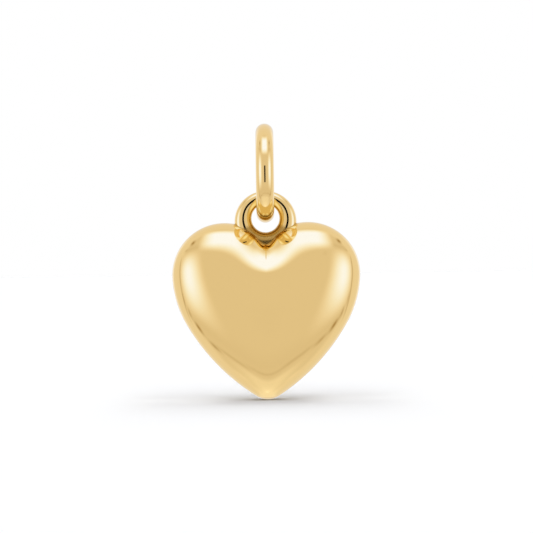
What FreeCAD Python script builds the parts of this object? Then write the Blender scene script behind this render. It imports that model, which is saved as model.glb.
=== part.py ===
import FreeCAD, Part
import math
import os

from FreeCAD import Vector

os.makedirs("parts", exist_ok=True)

# All lengths are in millimetres
# The heart's face looks towards -Y, up is +Z and the origin is the centre of the hanging ring's hole

# Outline of the heart, seen from the front
lobe_radius = 2.91
lobe_offset = 2.31
cheek_radius = 5.9
cheek_start = -4.0
flank_radius = 11.6
tip_radius = 1.17
lobe_to_tip = 6.90
cleft_radius = 0.20

# Swelling and metal thickness
half_depth = 2.28
wall = 0.30

# Hanging ring, a closed ring of round wire seen edge on
bail_outer_radius = 2.75
bail_wire_radius = 0.495

# Eye ring, round wire that is thickest where it is soldered to the heart
eye_outer_radius = 1.72
eye_hole_radius = 0.775
eye_hole_rise = 0.20
eye_above_lobes = 2.94

# Clearances
hang_gap = 0.03
solder_gap = 0.02

# Fineness of the smooth faces
row_count = 12
spare_rows = 4
ray_count = 72
ray_crowding = 0.36
ring_steps = 24
section_steps = 12

# Heights that follow from the sizes above
bail_radius = bail_outer_radius - bail_wire_radius
eye_hole_z = hang_gap - (bail_radius - bail_wire_radius) - eye_hole_radius
eye_z = eye_hole_z - eye_hole_rise
lobe_z = eye_z - eye_above_lobes


# The rim of the heart as arcs, each one a centre, a radius and its first and last angle
def rim_arcs(inset):
    lobe = (lobe_offset, 0.0, lobe_radius - inset)
    tip = (0.0, tip_radius - lobe_to_tip, tip_radius - inset)
    cleft_rise = math.sqrt((lobe_radius + cleft_radius) ** 2 - lobe_offset ** 2)
    cleft = (0.0, cleft_rise, cleft_radius + inset)
    joint_top = math.radians(cheek_start)
    inward = cheek_radius - lobe_radius
    cheek_x = lobe_offset - inward * math.cos(joint_top)
    cheek_z = -inward * math.sin(joint_top)
    cheek = (cheek_x, cheek_z, cheek_radius - inset)
    flank = flank_circle(cheek, tip, flank_radius - inset)
    joint_low = direction(flank, tip)
    joint_high = direction(flank, cheek)
    right = []
    right.append(tip + (-math.pi / 2, joint_low))
    right.append(flank + (joint_low, joint_high))
    right.append(cheek + (joint_high, joint_top))
    right.append(lobe + (joint_top, direction(lobe, cleft)))
    right.append(cleft + (-math.pi / 2, direction(cleft, lobe)))
    left = []
    for x, z, radius, first, last in right:
        left.append((-x, z, radius, math.pi - last, math.pi - first))
    return right + left


# Direction from the centre of one circle to the centre of another
def direction(start, end):
    return math.atan2(end[1] - start[1], end[0] - start[0])


# The large circle that touches the cheek and the tip from outside, its centre beyond the far side
def flank_circle(cheek, tip, radius):
    span = math.hypot(tip[0] - cheek[0], tip[1] - cheek[1])
    to_cheek = radius - cheek[2]
    to_tip = radius - tip[2]
    along = (to_cheek ** 2 - to_tip ** 2 + span ** 2) / (2 * span)
    aside = math.sqrt(to_cheek ** 2 - along ** 2)
    angle = direction(cheek, tip)
    x = cheek[0] + along * math.cos(angle) + aside * math.sin(angle)
    z = cheek[1] + along * math.sin(angle) - aside * math.cos(angle)
    return (x, z, radius)


# Swelling of the heart at a point of its mid plane, nought at the rim and greatest in the middle
# It is one over the sum, all the way round the rim, of rim length by distance squared
# Over a round rim its square root is exactly a half ball, over a heart it is a smooth puffed dome
def swelling(x, z, arcs):
    total = 0.0
    for arc_x, arc_z, radius, first, last in arcs:
        away = math.hypot(x - arc_x, z - arc_z)
        facing = math.atan2(z - arc_z, x - arc_x)
        ratio = (radius + away) / abs(radius - away)
        turned = sweep(last - facing, ratio) - sweep(first - facing, ratio)
        total += 2 * radius * turned / abs(radius ** 2 - away ** 2)
    return 1.0 / total


# Angle used in the sum along one arc, kept continuous over whole turns
def sweep(angle, ratio):
    turns = math.floor((angle + math.pi) / (2 * math.pi))
    rest = angle - 2 * math.pi * turns
    return math.atan(ratio * math.tan(rest / 2)) + math.pi * turns


# Height of the point on the centre line where the dome is highest
def crown_height(arcs):
    low = tip_radius - lobe_to_tip
    high = 0.0
    while high - low > 1e-7:
        third = (high - low) / 3
        if swelling(0.0, low + third, arcs) < swelling(0.0, high - third, arcs):
            low = low + third
        else:
            high = high - third
    return (low + high) / 2


# Distance from the crown to the rim along a ray
def rim_distance(angle, crown_z, arcs):
    along_x = math.cos(angle)
    along_z = math.sin(angle)
    best = 0.0
    miss = 1e9
    for arc_x, arc_z, radius, first, last in arcs:
        near = arc_x * along_x + (arc_z - crown_z) * along_z
        aside = arc_x * along_z - (arc_z - crown_z) * along_x
        half = math.sqrt(max(radius ** 2 - aside ** 2, 0.0))
        for reach in (near - half, near + half):
            x = reach * along_x
            z = crown_z + reach * along_z
            facing = math.atan2(z - arc_z, x - arc_x)
            middle = (first + last) / 2
            off = math.remainder(facing - middle, 2 * math.pi)
            outside = max(abs(off) - (last - first) / 2, 0.0)
            if reach > 0 and abs(aside) <= radius and outside < miss:
                miss = outside
                best = reach
    return best


# Distances along one ray at which the dome has the heights of the successive rows
def ray_steps(angle, crown_z, arcs, count):
    peak = swelling(0.0, crown_z, arcs)
    edge = rim_distance(angle, crown_z, arcs)
    steps = [0.0]
    for row in range(1, count + 1):
        level = peak * math.cos(math.pi / 2 * row / row_count) ** 2
        near = steps[-1]
        far = edge
        while far - near > 1e-9 and row < row_count:
            middle = (near + far) / 2
            if swelling(middle * math.cos(angle), crown_z + middle * math.sin(angle), arcs) > level:
                near = middle
            else:
                far = middle
        steps.append(far)
    return steps


# Directions of the rays, crowded together towards the cleft and the tip where the rim turns quickly
def ray_angles():
    angles = []
    for turn in even_turns(ray_count)[:-1]:
        angles.append(math.pi / 2 - turn + ray_crowding * math.sin(2 * turn))
    return angles


# Evenly spaced parameters of one whole turn, its end included
def even_turns(count):
    return [2 * math.pi * step / count for step in range(count + 1)]


# Points of the dome, row by row from beyond the crown to beyond the rim
def dome_points(inset):
    arcs = rim_arcs(inset)
    crown_z = crown_height(arcs)
    depth = half_depth - inset
    grid = [[] for row in range(row_count + 2 * spare_rows + 1)]
    for angle in ray_angles():
        ahead = ray_steps(angle, crown_z, arcs, row_count)
        behind = ray_steps(angle + math.pi, crown_z, arcs, spare_rows)
        for line, row in enumerate(range(-spare_rows, row_count + spare_rows + 1)):
            if row < 0:
                reach = -behind[-row]
            elif row <= row_count:
                reach = ahead[row]
            else:
                reach = ahead[2 * row_count - row]
            x = reach * math.cos(angle)
            y = -depth * math.cos(math.pi / 2 * row / row_count)
            z = lobe_z + crown_z + reach * math.sin(angle)
            grid[line].append(Vector(x, y, z))
    return grid


# Smooth curve through points at given parameters
def curve_through(points, parameters, closed):
    curve = Part.BSplineCurve()
    curve.interpolate(Points=points, Parameters=parameters, PeriodicFlag=closed)
    return curve


# Smooth surface through a grid of points, closed round each row and, if asked, from the last row to the first
def surface_through(grid, row_parameters, turn_parameters, closed):
    columns = [curve_through(list(column), row_parameters, closed) for column in zip(*grid)]
    bands = []
    for index in range(columns[0].NbPoles):
        poles = [column.getPole(index + 1) for column in columns]
        bands.append(curve_through(poles, turn_parameters, True))
    surface = Part.BSplineSurface()
    surface.buildFromPolesMultsKnots(
        [band.getPoles() for band in bands],
        columns[0].getMultiplicities(),
        bands[0].getMultiplicities(),
        columns[0].getKnots(),
        bands[0].getKnots(),
        closed,
        True,
        columns[0].Degree,
        bands[0].Degree,
    )
    return surface


# Solid front half of the heart, all of its outline drawn in by the inset
def half_heart(inset):
    grid = dome_points(inset)
    row_parameters = [float(row) for row in range(-spare_rows, row_count + spare_rows + 1)]
    surface = surface_through(grid, row_parameters, even_turns(ray_count), False)
    surface.segment(0.0, float(row_count), 0.0, 2 * math.pi)
    dome = surface.toShape()
    rim = [edge for edge in dome.Edges if abs(edge.BoundBox.YMax) < 1e-4 and edge.BoundBox.XLength > 1]
    flat = Part.Face(Part.Wire(rim))
    skin = Part.Shell([dome, flat])
    skin.sewShape()
    return outward_solid(skin)


# Solid inside a closed skin, its faces turned outwards
def outward_solid(skin):
    solid = Part.Solid(skin)
    if solid.Volume < 0:
        solid.reverse()
    return solid


# Eye ring, or the seat it needs when its wire is grown by a clearance
def eye_solid(grow):
    grid = []
    for around in even_turns(section_steps)[:-1]:
        grid.append([])
        for angle in even_turns(ring_steps)[:-1]:
            outer = circle_reach(angle, -eye_hole_rise, eye_outer_radius + grow)
            inner = eye_hole_radius - grow
            middle = (outer + inner) / 2 + (outer - inner) / 2 * math.cos(around)
            y = (outer - inner) / 2 * math.sin(around)
            grid[-1].append(Vector(middle * math.sin(angle), y, eye_hole_z + middle * math.cos(angle)))
    surface = surface_through(grid, even_turns(section_steps), even_turns(ring_steps), True)
    return outward_solid(Part.Shell([surface.toShape()]))


# Distance from the hole's centre to a circle whose centre is moved up by the rise
def circle_reach(angle, rise, radius):
    return rise * math.cos(angle) + math.sqrt(radius ** 2 - (rise * math.sin(angle)) ** 2)


# The two struck halves of the heart, hollow and notched for the eye ring
def heart_shells():
    hollow = half_heart(0.0).cut(half_heart(wall))
    front = hollow.cut(eye_solid(solder_gap))
    back = front.mirror(Vector(0, 0, 0), Vector(0, 1, 0))
    return front, back


# The hanging ring
def bail_solid():
    return Part.makeTorus(bail_radius, bail_wire_radius, Vector(0, 0, 0), Vector(1, 0, 0))


# Build and write every piece
def build():
    front, back = heart_shells()
    pieces = {
        "front_shell": front,
        "back_shell": back,
        "eye_ring": eye_solid(0.0),
        "bail_ring": bail_solid(),
    }
    for name, shape in pieces.items():
        solid = shape.Solids[0]
        print(name, "valid", solid.isValid(), "solids", len(shape.Solids), "volume", round(solid.Volume, 3))
        solid.exportStep("parts/" + name + ".step")


build()
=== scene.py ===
import math

import bpy
import numpy as np
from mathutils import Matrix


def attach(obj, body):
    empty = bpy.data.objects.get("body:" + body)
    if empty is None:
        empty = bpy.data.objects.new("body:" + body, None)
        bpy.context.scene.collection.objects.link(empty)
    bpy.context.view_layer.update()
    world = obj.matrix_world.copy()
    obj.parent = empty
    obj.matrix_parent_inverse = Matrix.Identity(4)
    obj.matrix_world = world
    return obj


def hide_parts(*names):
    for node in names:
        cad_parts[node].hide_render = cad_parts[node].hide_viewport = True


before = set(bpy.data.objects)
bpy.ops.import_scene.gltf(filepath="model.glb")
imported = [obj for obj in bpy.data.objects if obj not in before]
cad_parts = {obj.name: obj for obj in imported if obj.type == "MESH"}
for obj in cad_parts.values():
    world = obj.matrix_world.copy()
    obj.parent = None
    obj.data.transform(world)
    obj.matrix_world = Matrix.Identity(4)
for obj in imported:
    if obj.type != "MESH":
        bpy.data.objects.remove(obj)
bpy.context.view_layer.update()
print("frame loaded:", sorted(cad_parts))

mm = 0.001  # everything below is written in millimetres and placed in metres

heart = {
    "lobeRadius": 2.91,
    "lobeOffset": 2.31,
    "cheekRadius": 5.9,
    "cheekStart": -4.0,  # degrees above level where the lobe passes into the cheek
    "flankRadius": 11.6,
    "tipRadius": 1.17,
    "lobeToTip": 6.90,
    "cleftRadius": 0.20,
    "halfDepth": 2.28,
    "wall": 0.30,
    "segments": 192,
    "rings": 112,
    "crowding": 0.36,  # draws the points together at the cleft and the tip
    "creaseDepth": 0.15,  # soft valley from the cleft down the face
    "creaseWidth": 0.5,
    "creaseTop": 1.645,  # height above the lobes' centres where the valley is full
    "creaseEnd": 0.045,  # and where it has faded out
    "sharpAngle": 40,  # degrees at which the rim stays sharp
}


# Starts a piece with nothing selected
def startPiece():
    if bpy.context.object and bpy.context.object.mode != "OBJECT":
        bpy.ops.object.mode_set(mode="OBJECT")
    bpy.ops.object.select_all(action="DESELECT")


# Names the new piece and puts its place into its mesh
def namePiece(name):
    piece = bpy.context.object
    piece.name = name
    piece.data.name = name
    bpy.ops.object.transform_apply(location=True, rotation=True, scale=True)
    return piece


# The rim of the heart as arcs: centre, radius, first and last angle, right side then left
def rimArcs(size):
    lobe = (size["lobeOffset"], 0.0, size["lobeRadius"])
    tip = (0.0, size["tipRadius"] - size["lobeToTip"], size["tipRadius"])
    cleftRise = math.sqrt((size["lobeRadius"] + size["cleftRadius"]) ** 2 - size["lobeOffset"] ** 2)
    cleft = (0.0, cleftRise, size["cleftRadius"])
    cheekTop = math.radians(size["cheekStart"])
    inward = size["cheekRadius"] - size["lobeRadius"]
    cheek = (lobe[0] - inward * math.cos(cheekTop), -inward * math.sin(cheekTop), size["cheekRadius"])
    flank = flankCircle(cheek, tip, size["flankRadius"])
    right = [
        tip + (-math.pi / 2, heading(flank, tip)),
        flank + (heading(flank, tip), heading(flank, cheek)),
        cheek + (heading(flank, cheek), cheekTop),
        lobe + (cheekTop, heading(lobe, cleft)),
        cleft + (-math.pi / 2, heading(cleft, lobe)),
    ]
    left = [(-x, z, radius, math.pi - last, math.pi - first) for x, z, radius, first, last in right]
    return right + left


# The large circle that touches the cheek and the tip from outside
def flankCircle(cheek, tip, radius):
    span = math.hypot(tip[0] - cheek[0], tip[1] - cheek[1])
    toCheek = radius - cheek[2]
    toTip = radius - tip[2]
    along = (toCheek ** 2 - toTip ** 2 + span ** 2) / (2 * span)
    aside = math.sqrt(toCheek ** 2 - along ** 2)
    slope = heading(cheek, tip)
    x = cheek[0] + along * math.cos(slope) + aside * math.sin(slope)
    z = cheek[1] + along * math.sin(slope) - aside * math.cos(slope)
    return (x, z, radius)


# Direction from one circle's centre to another's
def heading(start, end):
    return math.atan2(end[1] - start[1], end[0] - start[0])


# Swelling of the heart over its mid plane, nought at the rim
# It is one over the rim's summed inverse square distance
def swelling(x, z, arcs):
    total = np.zeros_like(x)
    for arcX, arcZ, radius, first, last in arcs:
        away = np.hypot(x - arcX, z - arcZ)
        facing = np.arctan2(z - arcZ, x - arcX)
        ratio = (radius + away) / np.abs(radius - away)
        turned = sweep(last - facing, ratio) - sweep(first - facing, ratio)
        total += 2 * radius * turned / np.abs(radius ** 2 - away ** 2)
    return 1.0 / total


# Angle inside the sum along one arc, continuous over whole turns
def sweep(angle, ratio):
    turns = np.floor((angle + math.pi) / (2 * math.pi))
    rest = angle - 2 * math.pi * turns
    return np.arctan(ratio * np.tan(rest / 2)) + math.pi * turns


# Height on the centre line where the heart is fullest
def crownHeight(arcs, size):
    heights = np.linspace(size["tipRadius"] - size["lobeToTip"], 0.0, 4001)  # fine steps
    fullness = swelling(np.zeros_like(heights), heights, arcs)
    best = int(np.argmax(fullness))
    curve = fullness[best - 1] - 2 * fullness[best] + fullness[best + 1]
    shift = (fullness[best - 1] - fullness[best + 1]) / (2 * curve)
    return heights[best] + shift * (heights[1] - heights[0])


# Distance from the crown to the rim along each heading
def rimDistance(angles, crownZ, arcs):
    best = np.zeros_like(angles)
    miss = np.full_like(angles, 1e9)
    for arcX, arcZ, radius, first, last in arcs:
        near = arcX * np.cos(angles) + (arcZ - crownZ) * np.sin(angles)
        aside = arcX * np.sin(angles) - (arcZ - crownZ) * np.cos(angles)
        half = np.sqrt(np.maximum(radius ** 2 - aside ** 2, 0.0))
        for reach in (near - half, near + half):
            x = reach * np.cos(angles)
            z = crownZ + reach * np.sin(angles)
            off = np.arctan2(z - arcZ, x - arcX) - (first + last) / 2
            off = np.abs((off + math.pi) % (2 * math.pi) - math.pi)
            outside = np.maximum(off - (last - first) / 2, 0.0)
            closer = (reach > 0) & (np.abs(aside) <= radius) & (outside < miss)
            miss = np.where(closer, outside, miss)
            best = np.where(closer, reach, best)
    return best


# Moves the points of a unit ball, its poles front and back, to the puffed heart
def swellToHeart(piece, size):
    arcs = rimArcs(size)
    crownZ = crownHeight(arcs, size)
    peak = swelling(np.zeros(1), np.full(1, crownZ), arcs)[0]
    points = np.array([v.co for v in piece.data.vertices], float)
    turn = np.arctan2(points[:, 0], points[:, 2])
    angles = math.pi / 2 - turn + size["crowding"] * np.sin(2 * turn)
    height = np.clip(np.abs(points[:, 1]), 0.0, 1.0)
    level = peak * height ** 2
    near = np.zeros(len(points))
    far = rimDistance(angles, crownZ, arcs)
    atRim = height < 1e-5
    for step in range(48):  # halves the search each time
        middle = (near + far) / 2
        fuller = swelling(middle * np.cos(angles), crownZ + middle * np.sin(angles), arcs) > level
        fuller &= ~atRim
        near = np.where(fuller | atRim, middle, near)
        far = np.where(fuller | atRim, far, middle)
    reach = np.where(height > 1 - 1e-9, 0.0, far)
    rise = crownZ + reach * np.sin(angles)
    points[:, 0] = reach * np.cos(angles)
    points[:, 2] = lobeZ + rise
    bulge = size["halfDepth"] * np.where(atRim, 0.0, height)
    along = np.clip((rise - size["creaseEnd"]) / (size["creaseTop"] - size["creaseEnd"]), 0, 1)
    fade = along ** 2 * (3 - 2 * along) * np.exp(-np.abs(points[:, 0]) / size["creaseWidth"])
    crease = size["creaseDepth"] * fade * np.minimum(bulge, 1.0)
    points[:, 1] = np.sign(points[:, 1]) * (bulge - crease)
    piece.data.vertices.foreach_set("co", (points * mm).ravel())
    piece.data.update()


# One struck half of the heart: a ball cut in two, swelled to the heart and given its wall
def makeShell(name, node, side):
    startPiece()
    bpy.ops.mesh.primitive_uv_sphere_add(
        segments=heart["segments"],
        ring_count=heart["rings"],
        radius=1,
        location=(0, 0, 0),
        rotation=(math.pi / 2, 0, 0),
    )
    piece = namePiece(name)
    bpy.ops.object.mode_set(mode="EDIT")
    bpy.ops.mesh.select_all(action="SELECT")
    bpy.ops.mesh.bisect(plane_co=(0, 0, 0), plane_no=(0, side, 0), clear_inner=True, threshold=1e-5)
    bpy.ops.object.mode_set(mode="OBJECT")
    swellToHeart(piece, heart)
    bpy.ops.object.mode_set(mode="EDIT")
    bpy.ops.mesh.select_all(action="SELECT")
    bpy.ops.mesh.normals_make_consistent(inside=False)
    bpy.ops.object.mode_set(mode="OBJECT")
    wall = piece.modifiers.new("wall", "SOLIDIFY")
    wall.thickness = heart["wall"] * mm
    wall.offset = -1
    bpy.ops.object.modifier_apply(modifier="wall")
    bpy.ops.object.shade_smooth_by_angle(angle=math.radians(heart["sharpAngle"]))
    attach(piece, "heart")
    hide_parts(node)
    print(name, "made,", len(piece.data.vertices), "points")
    return piece


# Round wire bent to a closed ring: a circle of wire, spun and closed
def spinRing(name, wireRadius, ringRadius, wireSides, steps, centre, axis, wireTurn):
    startPiece()
    start = (centre[0], centre[1], centre[2] + ringRadius)
    bpy.ops.mesh.primitive_circle_add(
        vertices=wireSides,
        radius=wireRadius,
        location=start,
        rotation=wireTurn,
    )
    piece = namePiece(name)
    bpy.ops.object.mode_set(mode="EDIT")
    bpy.ops.mesh.select_all(action="SELECT")
    bpy.ops.mesh.spin(steps=steps, angle=2 * math.pi, center=centre, axis=axis)
    bpy.ops.mesh.select_all(action="SELECT")
    bpy.ops.mesh.remove_doubles(threshold=1e-7)
    bpy.ops.mesh.normals_make_consistent(inside=False)
    bpy.ops.object.mode_set(mode="OBJECT")
    bpy.ops.object.shade_smooth()
    return piece


eye = {
    "outerRadius": 1.72,
    "holeRadius": 0.775,
    "holeRise": 0.20,  # from the ring's centre up to its hole's
    "aboveLobes": 2.94,  # from the lobes' centres up to the ring's
    "flattening": 0.042,  # how much fuller than round the wire is between its face and its edge
    "wireSides": 64,
    "steps": 192,
}

bail = {
    "outerRadius": 2.75,
    "wireRadius": 0.495,
    "hangGap": 0.03,  # left between the hanging ring and the eye
    "wireSides": 64,
    "steps": 224,
}

# Heights that follow from these sizes, measured from the centre of the hanging ring's hole
bailRadius = bail["outerRadius"] - bail["wireRadius"]
eyeWire = (eye["outerRadius"] - eye["holeRadius"]) / 2
holeZ = bail["hangGap"] - (bailRadius - bail["wireRadius"]) - eye["holeRadius"]
lobeZ = holeZ - eye["holeRise"] - eye["aboveLobes"]


# Makes the eye ring's wire thicker towards its soldered foot and a little flatter in front and behind
def taperEye(piece):
    hole = eye["holeRadius"]
    for vertex in piece.data.vertices:
        x = vertex.co.x / mm
        z = vertex.co.z / mm - holeZ
        away = math.hypot(x, z)
        cosine = z / away
        sine = x / away
        outer = -eye["holeRise"] * cosine + math.sqrt(eye["outerRadius"] ** 2 - (eye["holeRise"] * sine) ** 2)
        wire = (outer - hole) / 2
        share = (away - hole - eyeWire) / eyeWire
        lift = vertex.co.y / mm / eyeWire
        fuller = 1 + eye["flattening"] * (2 * share * lift) ** 2
        reach = (outer + hole) / 2 + wire * share * fuller
        vertex.co.x = reach * sine * mm
        vertex.co.z = (holeZ + reach * cosine) * mm
        vertex.co.y = lift * fuller * wire * mm
    piece.data.update()


makeShell("frontHeart", "front_shell", -1)
makeShell("backHeart", "back_shell", 1)

eyeRing = spinRing(
    "eyeRing",
    eyeWire * mm,
    (eye["holeRadius"] + eyeWire) * mm,
    eye["wireSides"],
    eye["steps"],
    (0, 0, holeZ * mm),
    (0, 1, 0),
    (0, math.pi / 2, 0),
)
taperEye(eyeRing)
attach(eyeRing, "heart")
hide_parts("eye_ring")
print("eye ring made,", len(eyeRing.data.vertices), "points")

bailRing = spinRing(
    "hangingRing",
    bail["wireRadius"] * mm,
    bailRadius * mm,
    bail["wireSides"],
    bail["steps"],
    (0, 0, 0),
    (1, 0, 0),
    (math.pi / 2, 0, 0),
)
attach(bailRing, "bail")
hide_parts("bail_ring")
print("hanging ring made,", len(bailRing.data.vertices), "points")


gold = {
    "colour": (0.96, 0.677, 0.286, 1),
    "mirroredColour": (0.955, 0.775, 0.36, 1),  # how gold looks where it is seen mirrored in gold
    "roughness": 0.045,
    "haze": 0.02,  # roughness added in patches by the polishing wheel
    "hazeSize": 0.9,
    "hazeRange": (0.4, 0.75),
    "scratchStrength": 0.012,
    "scratchDepth": 0.01,
    "scratchSize": 0.35,
    "scratchStretch": 30,
    "scratchRange": (0.62, 0.72),
    "seamWidth": 0.05,
    "seamRoughness": 0.12,
    "paintedShadeTone": (0.58, 0.485, 0.3, 1),  # painted shade: how the gold is darkened at the eye's foot, at the edge of its hole and on the heart round the eye
    "solderRoughness": 0.2,
    "solderAndShadeSpread": (58.0, 72.0),  # degrees from straight down, round the eye's hole, where the eye's foot is duller and darkened with painted shade
    "shadedFilletWidth": 0.24,  # how far the solder's dullness and the painted shade spread over the heart from the eye
    "shadedBoreWidth": 0.13,  # edge of the eye's hole, made duller and darkened with painted shade
    "shadedBoreTone": 0.55,
}


# One maths node in a tree, its inputs either links or numbers
def mathNode(tree, operation, *values):
    node = tree.nodes.new("ShaderNodeMath")
    node.operation = operation
    for index, value in enumerate(values):
        if isinstance(value, (int, float)):
            node.inputs[index].default_value = value
        else:
            tree.links.new(value, node.inputs[index])
    return node.outputs[0]


# Length of the line that goes so far across and so far up
def lengthNode(tree, across, up):
    squares = mathNode(tree, "MULTIPLY_ADD", across, across, mathNode(tree, "MULTIPLY", up, up))
    return mathNode(tree, "SQRT", squares)


# Mix by a share of two colours, each a link or a plain colour
def mixNode(tree, blend, share, first, second):
    node = tree.nodes.new("ShaderNodeMix")
    node.data_type = "RGBA"
    node.blend_type = blend
    tree.links.new(share, node.inputs[0])
    for index, colour in ((6, first), (7, second)):  # the node's colour sockets
        if isinstance(colour, tuple):
            node.inputs[index].default_value = colour
        else:
            tree.links.new(colour, node.inputs[index])
    return node.outputs[2]


# Smooth step of a value from one limit to another
def softStep(tree, value, low, high, start, end):
    node = tree.nodes.new("ShaderNodeMapRange")
    node.interpolation_type = "SMOOTHSTEP"
    node.inputs["From Min"].default_value = low
    node.inputs["From Max"].default_value = high
    node.inputs["To Min"].default_value = start
    node.inputs["To Max"].default_value = end
    tree.links.new(value, node.inputs["Value"])
    return node.outputs[0]


# Noise in millimetres at a place, stretched by the given scales
def noiseNode(tree, place, size, stretch):
    mapping = tree.nodes.new("ShaderNodeMapping")
    mapping.inputs["Scale"].default_value = [part / (size * mm) for part in stretch]
    tree.links.new(place, mapping.inputs["Vector"])
    noise = tree.nodes.new("ShaderNodeTexNoise")
    noise.inputs["Scale"].default_value = 1
    noise.inputs["Detail"].default_value = 3
    tree.links.new(mapping.outputs[0], noise.inputs["Vector"])
    return noise.outputs[0]


# Node group: hazy patches and hair-fine scratches of a hand-polished face
def polishGroup():
    group = bpy.data.node_groups.new("handPolish", "ShaderNodeTree")
    group.interface.new_socket("place", in_out="INPUT", socket_type="NodeSocketVector")
    group.interface.new_socket("haze", in_out="OUTPUT", socket_type="NodeSocketFloat")
    group.interface.new_socket("normal", in_out="OUTPUT", socket_type="NodeSocketVector")
    place = group.nodes.new("NodeGroupInput").outputs["place"]
    end = group.nodes.new("NodeGroupOutput")
    patches = noiseNode(group, place, gold["hazeSize"], (1, 1, 1))
    group.links.new(softStep(group, patches, *gold["hazeRange"], 0, gold["haze"]), end.inputs["haze"])
    lines = noiseNode(group, place, gold["scratchSize"], (1, 1, gold["scratchStretch"]))
    fine = softStep(group, lines, *gold["scratchRange"], 0, 1)
    bump = group.nodes.new("ShaderNodeBump")
    bump.inputs["Strength"].default_value = gold["scratchStrength"]
    bump.inputs["Distance"].default_value = gold["scratchDepth"] * mm
    group.links.new(fine, bump.inputs["Height"])
    group.links.new(bump.outputs[0], end.inputs["normal"])
    return group


# Node group: the soldered places, a line along the heart's rim, and the masks of dullness and painted shade
# at the eye's foot, at the edge of its hole and on the heart round the eye
def solderAndShadeGroup():
    group = bpy.data.node_groups.new("solderedAndShadedPlaces", "ShaderNodeTree")
    group.interface.new_socket("place", in_out="INPUT", socket_type="NodeSocketVector")
    group.interface.new_socket("seam", in_out="OUTPUT", socket_type="NodeSocketFloat")
    group.interface.new_socket("foot", in_out="OUTPUT", socket_type="NodeSocketFloat")
    group.interface.new_socket("shadedFillet", in_out="OUTPUT", socket_type="NodeSocketFloat")
    parts = group.nodes.new("ShaderNodeSeparateXYZ")
    group.links.new(group.nodes.new("NodeGroupInput").outputs["place"], parts.inputs[0])
    x, y, z = parts.outputs
    end = group.nodes.new("NodeGroupOutput")
    off = mathNode(group, "ABSOLUTE", y)
    group.links.new(softStep(group, off, 0, gold["seamWidth"] * mm, 1, 0), end.inputs["seam"])
    below = mathNode(group, "SUBTRACT", holeZ * mm, z)
    angle = mathNode(group, "ARCTAN2", mathNode(group, "ABSOLUTE", x), below)
    inner, outer = [math.radians(limit) for limit in gold["solderAndShadeSpread"]]
    # dullness and painted shade on the eye's foot, where it meets the heart
    foot = softStep(group, angle, inner, outer, 1, 0)
    reach = lengthNode(group, x, below)
    hole = eye["holeRadius"] * mm
    # dullness and painted shade on the edge of the eye's hole
    shadedBore = softStep(group, reach, hole, hole + gold["shadedBoreWidth"] * mm, gold["shadedBoreTone"], 0)
    group.links.new(mathNode(group, "MAXIMUM", foot, shadedBore), end.inputs["foot"])
    lower = eye["holeRise"] / 2 * mm  # the wire's middle line is a circle so much lower than the hole
    sunk = mathNode(group, "SUBTRACT", below, lower)
    ring = lengthNode(group, x, sunk)
    past = mathNode(group, "SUBTRACT", ring, (eye["holeRadius"] + eyeWire) * mm)
    away = lengthNode(group, past, y)
    thicker = mathNode(group, "MULTIPLY", mathNode(group, "DIVIDE", sunk, ring), lower)
    outside = mathNode(group, "SUBTRACT", mathNode(group, "SUBTRACT", away, eyeWire * mm), thicker)
    # dullness and painted shade on the heart round the eye's foot
    shadedFillet = softStep(group, outside, 0, gold["shadedFilletWidth"] * mm, 1, 0)
    group.links.new(shadedFillet, end.inputs["shadedFillet"])
    return group


# Polished gold, a little hazy and scratched, duller where it is soldered, and darkened with painted shade
# where the eye meets the heart
def goldMaterial(name, soldered):
    material = bpy.data.materials.new(name)
    material.use_nodes = True
    tree = material.node_tree
    shader = tree.nodes["Principled BSDF"]
    shader.inputs["Metallic"].default_value = 1
    place = tree.nodes.new("ShaderNodeTexCoord").outputs["Object"]
    polish = tree.nodes.new("ShaderNodeGroup")
    polish.node_tree = bpy.data.node_groups.get("handPolish") or polishGroup()
    places = tree.nodes.new("ShaderNodeGroup")
    places.node_tree = bpy.data.node_groups.get("solderedAndShadedPlaces") or solderAndShadeGroup()
    tree.links.new(place, polish.inputs["place"])
    tree.links.new(place, places.inputs["place"])
    rough = mathNode(tree, "ADD", polish.outputs["haze"], gold["roughness"])
    mirrored = tree.nodes.new("ShaderNodeLightPath").outputs["Is Glossy Ray"]
    colour = mixNode(tree, "MIX", mirrored, gold["colour"], gold["mirroredColour"])
    if soldered == "rim":
        rough = mathNode(tree, "MULTIPLY_ADD", places.outputs["seam"], gold["seamRoughness"], rough)
    shadedPlace = {"rim": "shadedFillet", "foot": "foot"}.get(soldered)
    if shadedPlace:
        rough = mathNode(tree, "MULTIPLY_ADD", places.outputs[shadedPlace], gold["solderRoughness"], rough)
        # painted shade: darkens the gold at the eye's foot, at the edge of its hole and on the heart round
        # the eye
        colour = mixNode(tree, "MULTIPLY", places.outputs[shadedPlace], colour, gold["paintedShadeTone"])
    tree.links.new(colour, shader.inputs["Base Color"])
    tree.links.new(rough, shader.inputs["Roughness"])
    tree.links.new(polish.outputs["normal"], shader.inputs["Normal"])
    return material


looks = {
    "shellGold": goldMaterial("shellGold", "rim"),
    "eyeGold": goldMaterial("eyeGold", "foot"),
    "ringGold": goldMaterial("ringGold", "nowhere"),
}
wearers = {
    "frontHeart": "shellGold",
    "backHeart": "shellGold",
    "eyeRing": "eyeGold",
    "hangingRing": "ringGold",
}
nodeLooks = {
    "front_shell": "shellGold",
    "back_shell": "shellGold",
    "eye_ring": "eyeGold",
    "bail_ring": "ringGold",
}
for name, look in wearers.items():
    bpy.data.objects[name].data.materials.clear()
    bpy.data.objects[name].data.materials.append(looks[look])
for name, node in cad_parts.items():
    node.data.materials.clear()
    node.data.materials.append(looks[nodeLooks[name]])
print("gold mixed")


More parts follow.
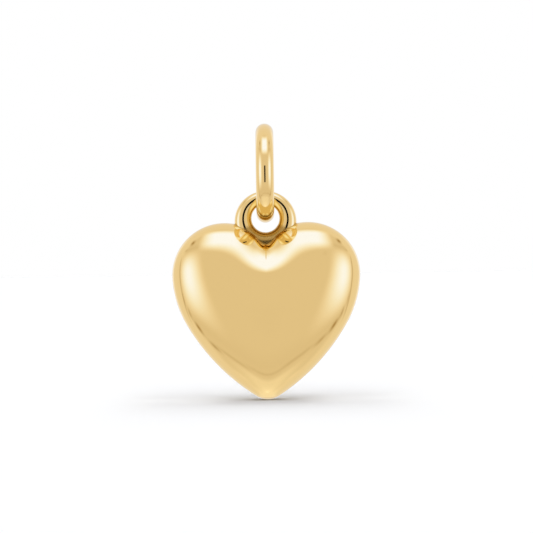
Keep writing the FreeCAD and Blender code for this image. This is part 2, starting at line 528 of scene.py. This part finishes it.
studio = {
    "floorGap": 0.015,  # between the heart's tip and the floor
    "floorSize": 4000,
    "floorColour": (0.96, 0.96, 0.96, 1),
    "level": 0.925,  # even brightness of the light tent
    "rearLevel": 0.15,  # how much brighter it is behind the object
    "rearEdge": (88, 102),  # degrees from the front where it grows brighter
    "tentStrength": 0.849,
    "lensReach": (20.0, 46.0),  # half width and half height of the dark lens that only the rings mirror
    "lensRise": -5.0,
    "lensDistance": 132.0,
    "roomLevel": 0.30,  # plain share of the light that falls on the floor
    "panelColour": (0.573, 0.644, 1),
    "panelShoulder": (1.55, 0.49, 0),  # how much each colour of a bright panel is held back
    "flagColour": (0.6, 0.75, 1),
    "cameraDistance": 120.0,
    "sensorWidth": 36,
    "frameWidth": 29.58,  # how much of the object's plane the picture shows
    "aimX": 0.02,
    "aimZ": -5.18,
    "roll": 0.8,
}

# Soft lamps overhead that throw the shadow, each hung in four places: tilt to front or back and to the sides
lamps = [
    {"tilt": (17, 20), "angle": 20, "strength": 0.337},
    {"tilt": (35, 20), "angle": 20, "strength": 0.191},
    {"tilt": (55, 20), "angle": 24, "strength": 0.228},
]

# Soft panels in front of the object, placed by degrees to the right and up from the camera's own direction:
# middle, half size, softness of the edges, strength
frontPanels = [
    {"at": (-64, 4), "half": (15, 25), "edge": (30, 42), "strength": 2.2},
    {"at": (64, 4), "half": (15, 25), "edge": (30, 42), "strength": 2.2},
    {"at": (0, 67), "half": (33, 18.5), "edge": (36, 19), "strength": 2.45},
]

# The same behind the object, by degrees from the opposite direction
rearPanels = [
    {"at": (-32, 4), "half": (6, 20), "edge": (22, 36), "strength": 0.7},
    {"at": (32, 4), "half": (6, 20), "edge": (22, 36), "strength": 0.7},
]

# Patches in front that the floor lights from below, and dark flags, whose strength is below nought
flags = [
    {"at": (29, 35), "half": (1, 2), "edge": (8, 8), "strength": -0.18},
    {"at": (0, -92), "half": (48, 35), "edge": (30, 8), "strength": 0.25},
    {"at": (0, -84), "half": (26, 10), "edge": (24, 24), "strength": 0.2},
    {"at": (-2, -87), "half": (7, 3), "edge": (16, 14), "strength": 0.45},
    {"at": (-56, -74), "half": (4, 3), "edge": (14, 10), "strength": 0.2},
    {"at": (56, -74), "half": (4, 3), "edge": (14, 10), "strength": 0.2},
    {"at": (66, 68), "half": (4, 4), "edge": (13.7, 15.2), "strength": -1.20},
    {"at": (-65, 67), "half": (4, 4), "edge": (13.7, 15.2), "strength": -1.12},
    {"at": (64, 52), "half": (20, 3), "edge": (16, 16), "strength": -0.15},
    {"at": (-64, 52), "half": (20, 3), "edge": (16, 16), "strength": -0.15},
    {"at": (81, 48), "half": (4, 1), "edge": (9.1, 7.6), "strength": -0.30},
    {"at": (-80, 52), "half": (4, 1), "edge": (9.1, 7.6), "strength": -0.30},
    {"at": (91, -6), "half": (1, 42), "edge": (6.5, 22), "strength": -0.63},
    {"at": (-92, -6), "half": (1, 42), "edge": (6.5, 22), "strength": -0.57},
    {"at": (86.5, -26), "half": (1.5, 5), "edge": (6, 12), "strength": -0.4},
    {"at": (-90, -27), "half": (1.5, 5), "edge": (6, 12), "strength": -0.4},
    {"at": (80, -38), "half": (2, 5), "edge": (6.8, 9.1), "strength": -0.45},
    {"at": (-84, -39), "half": (2, 5), "edge": (6.8, 9.1), "strength": -0.45},
    {"at": (73, -46), "half": (3, 3), "edge": (8.4, 8.4), "strength": -0.83},
    {"at": (-77, -49), "half": (3, 3), "edge": (8.4, 8.4), "strength": -0.83},
    {"at": (62, -49.5), "half": (4, 1.5), "edge": (9.1, 6.8), "strength": -0.52},
    {"at": (-66, -55.5), "half": (4, 1.5), "edge": (9.1, 6.8), "strength": -0.63},
    {"at": (42, -48.5), "half": (12, 1), "edge": (16, 5.8), "strength": -0.30},
    {"at": (-48, -52.5), "half": (12, 1), "edge": (16, 5.8), "strength": -0.30},
    {"at": (-2, -49.5), "half": (32, 0.5), "edge": (18, 5), "strength": -0.26},
    {"at": (0, -42), "half": (85, 6), "edge": (16, 20), "strength": -0.06},
]


# Adds the strengths of soft panels to what a direction has already
def addPanels(tree, group, place, panels, total):
    for panel in panels:
        node = tree.nodes.new("ShaderNodeGroup")
        node.node_tree = group
        tree.links.new(place[0], node.inputs["x"])
        tree.links.new(place[1], node.inputs["z"])
        for key, socket in (("at", "centre"), ("half", "half"), ("edge", "edge")):
            node.inputs[socket + "X"].default_value = panel[key][0]
            node.inputs[socket + "Z"].default_value = panel[key][1]
        total = mathNode(tree, "MULTIPLY_ADD", node.outputs["inside"], panel["strength"], total)
    return total


# Node group: how far a direction lies inside one soft panel, from nought to one
def panelGroup():
    group = bpy.data.node_groups.new("softPanel", "ShaderNodeTree")
    for label in ("x", "z", "centreX", "centreZ", "halfX", "halfZ", "edgeX", "edgeZ"):
        group.interface.new_socket(label, in_out="INPUT", socket_type="NodeSocketFloat")
    group.interface.new_socket("inside", in_out="OUTPUT", socket_type="NodeSocketFloat")
    start = group.nodes.new("NodeGroupInput").outputs
    shares = []
    for place, centre, half, edge in (("x", "centreX", "halfX", "edgeX"), ("z", "centreZ", "halfZ", "edgeZ")):
        away = mathNode(group, "ABSOLUTE", mathNode(group, "SUBTRACT", start[place], start[centre]))
        past = mathNode(group, "DIVIDE", mathNode(group, "SUBTRACT", away, start[half]), start[edge])
        shares.append(softStep(group, past, -0.5, 0.5, 1, 0))
    end = group.nodes.new("NodeGroupOutput")
    group.links.new(mathNode(group, "MULTIPLY", shares[0], shares[1]), end.inputs["inside"])
    return group


# The light tent: an even pale surround with soft panels at the sides and above
def makeTent():
    world = bpy.data.worlds.new("lightTent")
    bpy.context.scene.world = world
    world.use_nodes = True
    tree = world.node_tree
    tree.nodes.clear()
    coordinate = tree.nodes.new("ShaderNodeTexCoord")
    parts = tree.nodes.new("ShaderNodeSeparateXYZ")
    tree.links.new(coordinate.outputs["Generated"], parts.inputs[0])
    x, y, z = parts.outputs
    spread = lengthNode(tree, x, z)
    safe = mathNode(tree, "MAXIMUM", spread, 1e-5)  # never nought, since it divides
    turned = mathNode(tree, "ARCTAN2", spread, mathNode(tree, "MULTIPLY", y, -1))
    front = mathNode(tree, "MULTIPLY", turned, 180 / math.pi)
    rear = mathNode(tree, "SUBTRACT", 180, front)
    places = {}
    for key, off in (("front", front), ("rear", rear)):
        scale = mathNode(tree, "DIVIDE", off, safe)
        places[key] = (mathNode(tree, "MULTIPLY", x, scale), mathNode(tree, "MULTIPLY", z, scale))
    group = panelGroup()
    bright = addPanels(tree, group, places["front"], frontPanels, mathNode(tree, "ADD", 0, 0))
    bright = addPanels(tree, group, places["rear"], rearPanels, bright)
    rearGlow = softStep(tree, front, *studio["rearEdge"], 0, studio["rearLevel"])
    flagged = addPanels(tree, group, places["front"], flags, rearGlow)
    colour = tree.nodes.new("ShaderNodeCombineColor")
    for index in range(3):
        held = mathNode(tree, "MULTIPLY_ADD", bright, studio["panelShoulder"][index], 1)
        shown = mathNode(tree, "DIVIDE", bright, held)
        value = mathNode(tree, "MULTIPLY_ADD", shown, studio["panelColour"][index], studio["level"])
        value = mathNode(tree, "MULTIPLY_ADD", flagged, studio["flagColour"][index], value)
        tree.links.new(mathNode(tree, "MAXIMUM", value, 0), colour.inputs[index])
    tent = tree.nodes.new("ShaderNodeBackground")
    tent.inputs["Strength"].default_value = studio["tentStrength"]
    tree.links.new(colour.outputs[0], tent.inputs["Color"])
    room = tree.nodes.new("ShaderNodeBackground")  # what lights the floor
    room.inputs["Color"].default_value = (1, 1, 1, 1)
    room.inputs["Strength"].default_value = studio["roomLevel"]
    white = tree.nodes.new("ShaderNodeBackground")  # what the camera sees
    white.inputs["Color"].default_value = (1, 1, 1, 1)
    white.inputs["Strength"].default_value = 1
    path = tree.nodes.new("ShaderNodeLightPath")
    forFloor = tree.nodes.new("ShaderNodeMixShader")
    fromFloor = mathNode(tree, "MAXIMUM", path.outputs["Is Diffuse Ray"], path.outputs["Diffuse Depth"])
    tree.links.new(mathNode(tree, "MINIMUM", fromFloor, 1), forFloor.inputs[0])
    tree.links.new(tent.outputs[0], forFloor.inputs[1])
    tree.links.new(room.outputs[0], forFloor.inputs[2])
    forCamera = tree.nodes.new("ShaderNodeMixShader")
    tree.links.new(path.outputs["Is Camera Ray"], forCamera.inputs[0])
    tree.links.new(forFloor.outputs[0], forCamera.inputs[1])
    tree.links.new(white.outputs[0], forCamera.inputs[2])
    output = tree.nodes.new("ShaderNodeOutputWorld")
    tree.links.new(forCamera.outputs[0], output.inputs["Surface"])


# Hangs the overhead lamps
def makeLamps():
    for index, lamp in enumerate(lamps):
        for front, side in ((-1, -1), (-1, 1), (1, -1), (1, 1)):
            data = bpy.data.lights.new("overheadLamp", "SUN")
            data.angle = math.radians(lamp["angle"])
            data.energy = lamp["strength"]
            hung = bpy.data.objects.new("overheadLamp" + str(index + 1), data)
            toFront = math.radians(front * lamp["tilt"][0])
            toSide = math.radians(side * lamp["tilt"][1])
            hung.rotation_euler = (toFront, toSide, 0)
            hung.visible_glossy = False
            bpy.context.scene.collection.objects.link(hung)


# White table that keeps the pendant's soft shadow
def makeFloor():
    startPiece()
    floorZ = lobeZ - heart["lobeToTip"] - studio["floorGap"]
    bpy.ops.mesh.primitive_plane_add(size=studio["floorSize"] * mm, location=(0, 0, floorZ * mm))
    floor = namePiece("whiteFloor")
    material = bpy.data.materials.new("matteWhite")
    material.use_nodes = True
    shader = material.node_tree.nodes["Principled BSDF"]
    shader.inputs["Base Color"].default_value = studio["floorColour"]
    shader.inputs["Roughness"].default_value = 1
    shader.inputs["Specular IOR Level"].default_value = 0
    floor.data.materials.append(material)
    floor.visible_glossy = False


# Dark lens behind the camera: the rings mirror it as thin dark lines, the heart sees it as bright as the tent
def makeLens():
    startPiece()
    place = (studio["aimX"] * mm, -studio["lensDistance"] * mm, (studio["aimZ"] + studio["lensRise"]) * mm)
    bpy.ops.mesh.primitive_plane_add(size=2, location=place, rotation=(math.pi / 2, 0, 0))
    lens = bpy.context.object
    lens.scale = (studio["lensReach"][0] * mm, studio["lensReach"][1] * mm, 1)
    lens = namePiece("darkLens")
    material = bpy.data.materials.new("tentBright")
    material.use_nodes = True
    tree = material.node_tree
    tree.nodes.clear()
    glow = tree.nodes.new("ShaderNodeEmission")
    shade = studio["level"] * studio["tentStrength"]
    glow.inputs["Color"].default_value = (shade, shade, shade, 1)
    output = tree.nodes.new("ShaderNodeOutputMaterial")
    tree.links.new(glow.outputs[0], output.inputs["Surface"])
    lens.data.materials.append(material)
    lens.visible_camera = False
    lens.visible_diffuse = False
    lens.visible_shadow = False
    seers = bpy.data.collections.new("seeTheLensBright")
    for name in ("frontHeart", "backHeart"):
        seers.objects.link(bpy.data.objects[name])
    lens.light_linking.receiver_collection = seers
    return lens


# Camera straight in front and almost level, as in the photograph
def makeCamera():
    data = bpy.data.cameras.new("camera")
    camera = bpy.data.objects.new("camera", data)
    bpy.context.scene.collection.objects.link(camera)
    data.sensor_width = studio["sensorWidth"]
    data.lens = studio["sensorWidth"] * studio["cameraDistance"] / studio["frameWidth"]
    data.clip_start = 0.005
    data.clip_end = 10
    camera.location = (studio["aimX"] * mm, -studio["cameraDistance"] * mm, studio["aimZ"] * mm)
    camera.rotation_euler = (math.pi / 2, math.radians(studio["roll"]), 0)
    bpy.context.scene.camera = camera


makeTent()
makeLamps()
makeFloor()
makeLens()
makeCamera()
bpy.context.scene.view_settings.view_transform = "Standard"
print("studio ready")
